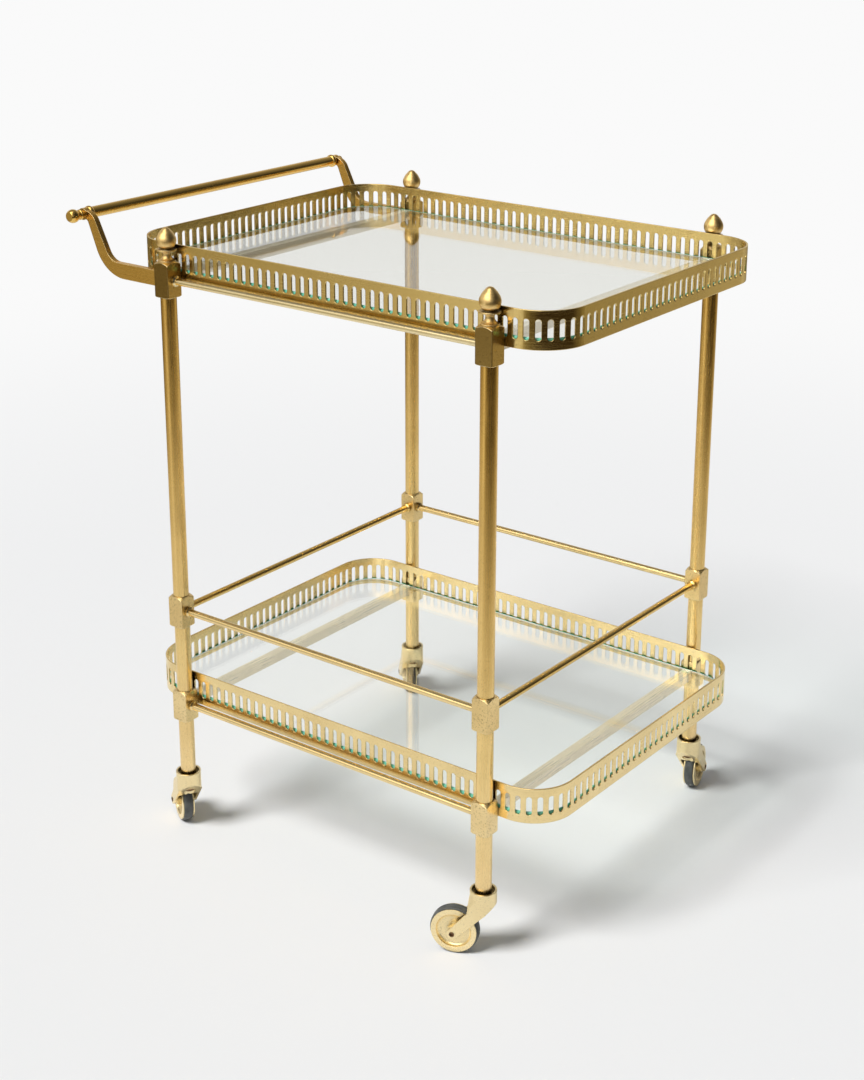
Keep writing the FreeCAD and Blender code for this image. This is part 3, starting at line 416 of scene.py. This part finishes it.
for shelf in ("top", "lower"):
    glass_edge(shelf)


# Floor and light: white paper when seen straight or through glass, a dim warm room when mirrored

FLOOR_HALF, FLOOR_SIDES = 30.0, ((-1, -1), (1, -1), (1, 1), (-1, 1))
PAPER_TONE, PAPER_SHOWN, SKY_SHOWN = (0.855, 0.86, 0.865), (0.955, 0.955, 0.955), (0.985, 0.985, 0.985)
PALING_SPAN, PAPER_ENDS = (0.9, 3.0), (0.75, 2.35)
WARM_FLOOR, DARK_FLOOR = (0.45, 0.38, 0.19), (0.03, 0.018, 0.006)
WARM_SPAN, DARK_SPAN = (0.0, 0.59), (0.35, 0.85)

TOWARDS_ROOM, TOWARDS_PALE = (0.906, -0.423, 0.0), (-0.309, -0.951, 0.0)
ROOM_EVERY_WAY, ROOM_EITHER_WAY, ROOM_AHEAD = 0.38, 0.45, 0.15
PALE_WAY, PALE_SPAN = 0.30, (0.955, 0.998)

SOFT_LIGHT, ROOM_TONE = 0.25, (1, 0.96, 0.88)
LEVEL_ONLY = (1, 1, 0)
OVERHEAD_SPAN, OVERHEAD_LIGHT = (0.33, 0.78), (1.0, 0.38)
TOWARDS_DARK, DARK_SIDE_SPAN, DARK_SIDE_LIGHT = (0.94, 0.34, 0.0), (0.1, 0.8), (0.70, 0.05)
TOWARDS_SOFTBOX, SOFTBOX_SPAN, SOFTBOX_RISE = (-0.09, -0.996, 0.0), (0.66, 0.95), (0.22, 0.58)
SOFTBOX = 2.6

TOWARDS_KEY, KEY_WIDTH, KEY_STRENGTH = (-0.175, -0.60, 0.78), 22, 3.05


def light_path(tree):
    """Shares of the rays that show the white background, and of those that show the mirrored room.

    A ray from the camera or through glass shows the first, unless it was mirrored on its way.
    """
    path = tree.nodes.new("ShaderNodeLightPath").outputs
    straight = math_node(tree, "MAXIMUM", path["Is Camera Ray"], path["Is Transmission Ray"])
    shown = math_node(tree, "GREATER_THAN", straight, path["Glossy Depth"])
    mirrored = math_node(tree, "GREATER_THAN", path["Glossy Depth"], path["Is Diffuse Ray"])
    return shown, mirrored


def cosine_to(tree, direction, way):
    """Cosine of the angle between a direction of any length and a way."""
    straight = vector_node(tree, "NORMALIZE", direction)["Vector"]
    return vector_node(tree, "DOT_PRODUCT", straight, way)["Value"]


def room_share(tree, direction):
    """How dim the room is in a direction: most ahead, less behind, least beside and near the key light."""
    ahead = cosine_to(tree, direction, TOWARDS_ROOM)
    either_way = math_node(tree, "ABSOLUTE", ahead)
    dim = math_node(tree, "MULTIPLY_ADD", either_way, ROOM_EITHER_WAY, ROOM_EVERY_WAY)
    dim = math_node(tree, "MULTIPLY_ADD", ahead, ROOM_AHEAD, dim)
    pale = carry(tree, cosine_to(tree, direction, TOWARDS_PALE), PALE_SPAN, (0, PALE_WAY), smooth=True)
    return math_node(tree, "SUBTRACT", dim, pale)


def white_paper():
    """Paper that keeps the shadows near the cart and pales farther out, where it mirrors as a warm floor."""
    finish, tree, output = new_finish("white paper")
    place = place_on(tree)
    shown, mirrored = light_path(tree)
    distance = vector_node(tree, "LENGTH", place)["Value"]
    paling = carry(tree, distance, PALING_SPAN, WHOLE, smooth=True)
    beyond = carry(tree, distance, PAPER_ENDS, WHOLE)
    dim = math_node(tree, "MULTIPLY", beyond, room_share(tree, place))
    warm, dark = carry(tree, dim, WARM_SPAN, WHOLE), carry(tree, dim, DARK_SPAN, WHOLE)
    surface = add_node(tree, "BsdfDiffuse", Color=PAPER_TONE).outputs[0]
    layers = [(PAPER_SHOWN, paling, shown), (WARM_FLOOR, warm, mirrored), (DARK_FLOOR, dark, mirrored)]
    for tone, strength, rays in layers:
        layer = add_node(tree, "Emission", Color=tone, Strength=1.0)
        share = math_node(tree, "MULTIPLY", strength, rays)
        surface = blend_shaders(tree, share, surface, layer.outputs[0])
    tree.links.new(surface, output.inputs["Surface"])
    return finish


def paper_floor():
    """A wide level sheet of white paper under the cart."""
    corners = [(x * FLOOR_HALF, y * FLOOR_HALF, 0) for x, y in FLOOR_SIDES]
    mesh = bpy.data.meshes.new("floor")
    mesh.from_pydata(corners, [], [(0, 1, 2, 3)])
    mesh.materials.append(white_paper())
    item = bpy.data.objects.new("floor", mesh)
    scene.collection.objects.link(item)


def mirrored_room(tree, direction):
    """Light of the mirrored room: dim overhead and on its dark side, bright at the softbox."""
    height = add_node(tree, "SeparateXYZ", Vector=direction).outputs["Z"]
    overhead = carry(tree, height, OVERHEAD_SPAN, OVERHEAD_LIGHT, smooth=True)
    dark_side = carry(tree, cosine_to(tree, direction, TOWARDS_DARK), DARK_SIDE_SPAN, DARK_SIDE_LIGHT)
    walls = math_node(tree, "MULTIPLY", overhead, dark_side)
    level_way = vector_node(tree, "MULTIPLY", direction, LEVEL_ONLY)["Vector"]
    beside = cosine_to(tree, level_way, TOWARDS_SOFTBOX)
    softbox = math_node(tree, "MULTIPLY", carry(tree, beside, SOFTBOX_SPAN, (0, SOFTBOX), smooth=True),
                        carry(tree, height, SOFTBOX_RISE, WHOLE, smooth=True))
    return math_node(tree, "ADD", walls, softbox)


def studio_world():
    """Even soft light on the cart, shown as white and mirrored as the room."""
    world = bpy.data.worlds.new("studio")
    scene.world = world
    world.use_nodes = True
    tree = world.node_tree
    tree.nodes.clear()
    output = tree.nodes.new("ShaderNodeOutputWorld")
    direction = tree.nodes.new("ShaderNodeTexCoord").outputs["Generated"]
    shown, mirrored = light_path(tree)
    soft = add_node(tree, "Background", Color=(1, 1, 1), Strength=SOFT_LIGHT)
    room = add_node(tree, "Background", Color=ROOM_TONE, Strength=mirrored_room(tree, direction))
    white = add_node(tree, "Background", Color=SKY_SHOWN, Strength=1.0)
    lit = blend_shaders(tree, mirrored, soft.outputs[0], room.outputs[0])
    tree.links.new(blend_shaders(tree, shown, lit, white.outputs[0]), output.inputs["Surface"])


def key_light():
    """Far soft light, which isn't mirrored itself, because the room's softbox stands in for it there."""
    lamp = bpy.data.lights.new("key light", "SUN")
    lamp.angle = math.radians(KEY_WIDTH)
    lamp.energy = KEY_STRENGTH
    item = bpy.data.objects.new("key light", lamp)
    item.rotation_mode = "QUATERNION"
    item.rotation_quaternion = (-Vector(TOWARDS_KEY)).to_track_quat("-Z", "Y")
    item.visible_glossy = False
    scene.collection.objects.link(item)


paper_floor()
studio_world()
key_light()


# Camera at the photograph's viewing angle; pixels are those of a frame of 864 by 1080

CAMERA_AZIMUTH, CAMERA_ELEVATION, CAMERA_ROLL = 36.39, 17.93, 0.40
CAMERA_TARGET, CAMERA_DISTANCE = Vector((-0.126, 0.206, 0.4565)), 2.560
FRAME_WIDTH, FRAME_HEIGHT = 864, 1080
FOCAL_PIXELS, CENTRE_X, CENTRE_Y = 1899, 461.9, 421.0
SENSOR_WIDTH, FAR_END = 36.0, 200


def photo_camera():
    """Camera turned and raised about its target and rolled a little.

    Blender lays the sensor's width along the frame's longer side, so lengths are shares of its height.
    """
    turn, rise = math.radians(CAMERA_AZIMUTH), math.radians(CAMERA_ELEVATION)
    back = Vector((math.sin(turn) * math.cos(rise), -math.cos(turn) * math.cos(rise), math.sin(rise)))
    lens = bpy.data.cameras.new("camera")
    lens.sensor_width = SENSOR_WIDTH
    lens.lens = FOCAL_PIXELS / FRAME_HEIGHT * SENSOR_WIDTH
    lens.shift_x = (FRAME_WIDTH / 2 - CENTRE_X) / FRAME_HEIGHT
    lens.shift_y = (CENTRE_Y - FRAME_HEIGHT / 2) / FRAME_HEIGHT
    lens.clip_end = FAR_END
    camera = bpy.data.objects.new("camera", lens)
    camera.rotation_mode = "QUATERNION"
    camera.location = CAMERA_TARGET + back * CAMERA_DISTANCE
    level = (-back).to_track_quat("-Z", "Y")
    camera.rotation_quaternion = level @ Matrix.Rotation(math.radians(CAMERA_ROLL), 3, "Z").to_quaternion()
    scene.collection.objects.link(camera)
    scene.camera = camera


photo_camera()
